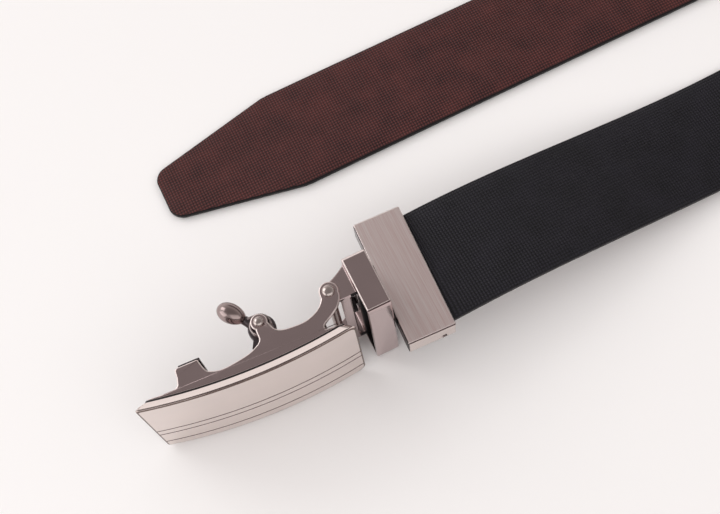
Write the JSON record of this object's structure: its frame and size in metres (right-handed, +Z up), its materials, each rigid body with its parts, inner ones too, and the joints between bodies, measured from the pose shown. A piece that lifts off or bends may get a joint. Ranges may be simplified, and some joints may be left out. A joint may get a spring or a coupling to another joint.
{
  "type": "ratchet belt",
  "caption": "Reversible leather belt with a swivelling ratchet buckle: embossed strap, clamp, keeper ring, hinged frame with face plate and a sprung release lever.",
  "frame": {"origin": "on the surface the belt lies on, under the middle of the whole belt", "axes": "+X along the belt from the buckle to the standing turn, +Y from the buckle's run towards the tail's run, +Z up off the surface"},
  "size_m": [0.6272, 0.1056, 0.04],
  "materials": {
    "black_leather": "satin black, embossed all over with a fine square grid",
    "brown_leather": "satin dark brown, embossed all over with a fine square grid",
    "brushed_nickel": "warm gunmetal nickel, brushed across the belt",
    "satin_nickel": "light warm nickel, satin, with fine dark grooves",
    "dark_nickel": "polished dark gunmetal nickel",
    "dark_steel": "polished near-black plated steel",
    "bright_steel": "polished steel"
  },
  "bodies": {
    "root": {"strap_black": "black_leather", "strap_brown": "brown_leather", "clamp_case": "brushed_nickel", "clamp_jaw": "dark_steel", "swivel_post": "dark_steel"},
    "bracket": {"keeper_bracket": "dark_nickel"},
    "frame_body": {"frame": "dark_nickel", "face_plate": "satin_nickel", "guide_bar": "dark_steel", "hinge_pin": "bright_steel", "lever_pin": "bright_steel", "lever_spring": "bright_steel"},
    "lever_body": {"lever": "dark_steel"}
  },
  "joints": [
    {"name": "swivel", "type": "hinge", "parent": "root", "child": "bracket", "pos_m": [-0.2445, -0.03259, 0.02], "axis": [1, 0, 0], "range_deg": [-90, 90]},
    {"name": "frame_hinge", "type": "hinge", "parent": "bracket", "child": "frame_body", "pos_m": [-0.25467, -0.03394, 0.02], "axis": [0, 0, 1], "range_deg": [-6, 20]},
    {"name": "release_lever", "type": "hinge", "parent": "frame_body", "child": "lever_body", "pos_m": [-0.27486, -0.03338, 0.02], "axis": [0, 0, 1], "range_deg": [-18, 0], "stiffness_Nm_per_rad": 0.02}
  ]
}
